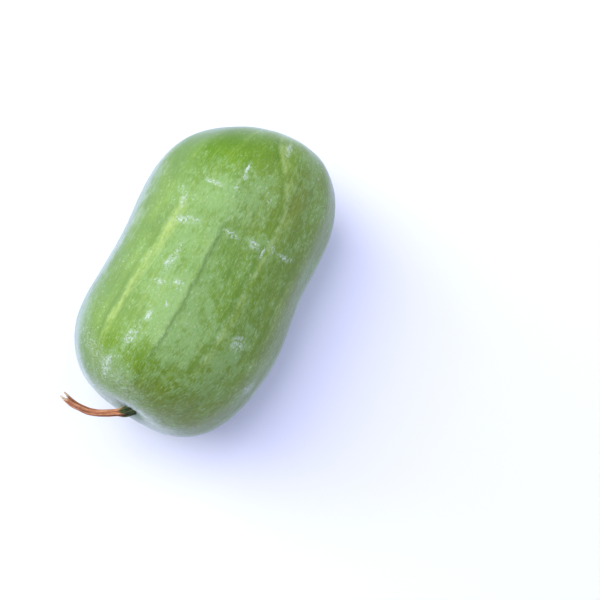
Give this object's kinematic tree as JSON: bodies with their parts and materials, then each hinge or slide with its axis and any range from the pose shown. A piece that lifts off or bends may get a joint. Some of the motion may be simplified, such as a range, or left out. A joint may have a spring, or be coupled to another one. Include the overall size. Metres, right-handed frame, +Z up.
{
  "type": "wax gourd",
  "caption": "Oblong gourd lying on its side: slightly waisted body, blunt rounded ends with a shallow hollow in each, a bent dry stem and a small blossom scar.",
  "frame": {"origin": "middle of the flat spot on the underside that the fruit rests on", "axes": "+X along the fruit from its stem end to its blossom end, +Z up"},
  "size_m": [0.2857, 0.1716, 0.1603],
  "materials": {
    "waxy_rind": "satin",
    "dried_stem": "matte",
    "corky_scar": "matte"
  },
  "bodies": {
    "root": {"gourd_fruit": "waxy_rind", "stem": "dried_stem", "blossom_scar": "corky_scar"}
  },
  "joints": []
}
